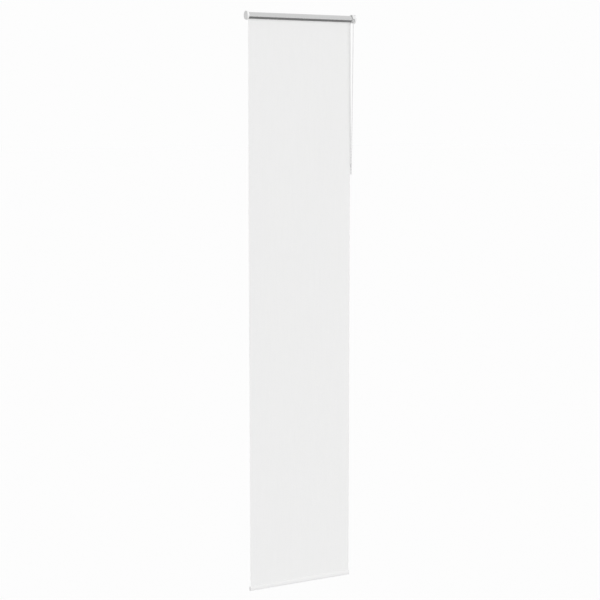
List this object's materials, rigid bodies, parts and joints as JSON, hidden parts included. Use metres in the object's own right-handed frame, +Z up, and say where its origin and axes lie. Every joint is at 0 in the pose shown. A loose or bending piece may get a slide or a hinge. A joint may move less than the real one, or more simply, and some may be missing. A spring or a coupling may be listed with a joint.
{
  "type": "blackout roller blind",
  "caption": "Chain-driven blackout roller blind on two wall brackets: a white sheet with a weighted hem hangs from a bare aluminium tube between round end covers.",
  "frame": {"origin": "centre of the four wall screw holes, on the wall plane, level with the roller's axis", "axes": "+Z up; the wall is the plane y = 0 and the room is on the -Y side; +X along the roller towards the chain"},
  "size_m": [0.486, 0.042, 2.3],
  "materials": {
    "white_steel": "white powder coat",
    "white_plastic": "white, semi-gloss",
    "tube_aluminium": "satin extruded",
    "blackout_cloth": "fine plain weave, matt white",
    "chain_plastic": "white, semi-gloss",
    "clutch_plastic": "pale grey, moulded",
    "spline_plastic": "pale grey, extruded",
    "spring_steel": "bright drawn wire",
    "zinc_steel": "zinc plated"
  },
  "bodies": {
    "brackets": {"left_bracket": "white_steel", "right_bracket": "white_steel", "left_cover": "white_plastic", "right_cover": "white_plastic", "clutch_core": "clutch_plastic", "core_washer": "zinc_steel", "core_screw": "zinc_steel", "chain_guard": "white_plastic", "bead_chain": "chain_plastic", "chain_joiner": "chain_plastic"},
    "roller": {"roller_tube": "tube_aluminium", "fabric_spline": "spline_plastic", "idle_plug": "clutch_plastic", "pin_bush": "clutch_plastic", "plug_cap": "clutch_plastic", "clutch_drum": "clutch_plastic"},
    "chain_wheel": {"chain_wheel": "clutch_plastic", "wrap_spring_outer": "spring_steel", "wrap_spring_inner": "spring_steel"},
    "pin": {"idle_pin": "zinc_steel", "idle_spring": "spring_steel"},
    "hem": {"blackout_fabric": "blackout_cloth", "hem_bar": "tube_aluminium", "hem_cap_left": "white_plastic", "hem_cap_right": "white_plastic"}
  },
  "joints": [
    {"name": "wheel_spin", "type": "hinge", "parent": "brackets", "child": "chain_wheel", "pos_m": [0, -0.025, 0], "axis": [1, 0, 0], "range_deg": [0, 7560], "deforming": ["bead_chain"]},
    {"name": "roller_spin", "type": "hinge", "parent": "brackets", "child": "roller", "pos_m": [0, -0.025, 0], "axis": [1, 0, 0], "range_deg": [0, 7560]},
    {"name": "hem_slide", "type": "slide", "parent": "brackets", "child": "hem", "axis": [0, 0, 1], "range_m": [0, 2.19], "deforming": ["blackout_fabric"]},
    {"name": "pin_slide", "type": "slide", "parent": "brackets", "child": "pin", "axis": [1, 0, 0], "range_m": [0, 0.0065], "stiffness_N_per_m": 400, "springref_m": -0.005, "deforming": ["idle_spring"]}
  ],
  "couplings": [
    {"joint": "wheel_spin", "follows": "hem_slide", "rad_per_m": 60.241},
    {"joint": "roller_spin", "follows": "hem_slide", "rad_per_m": 60.241}
  ]
}
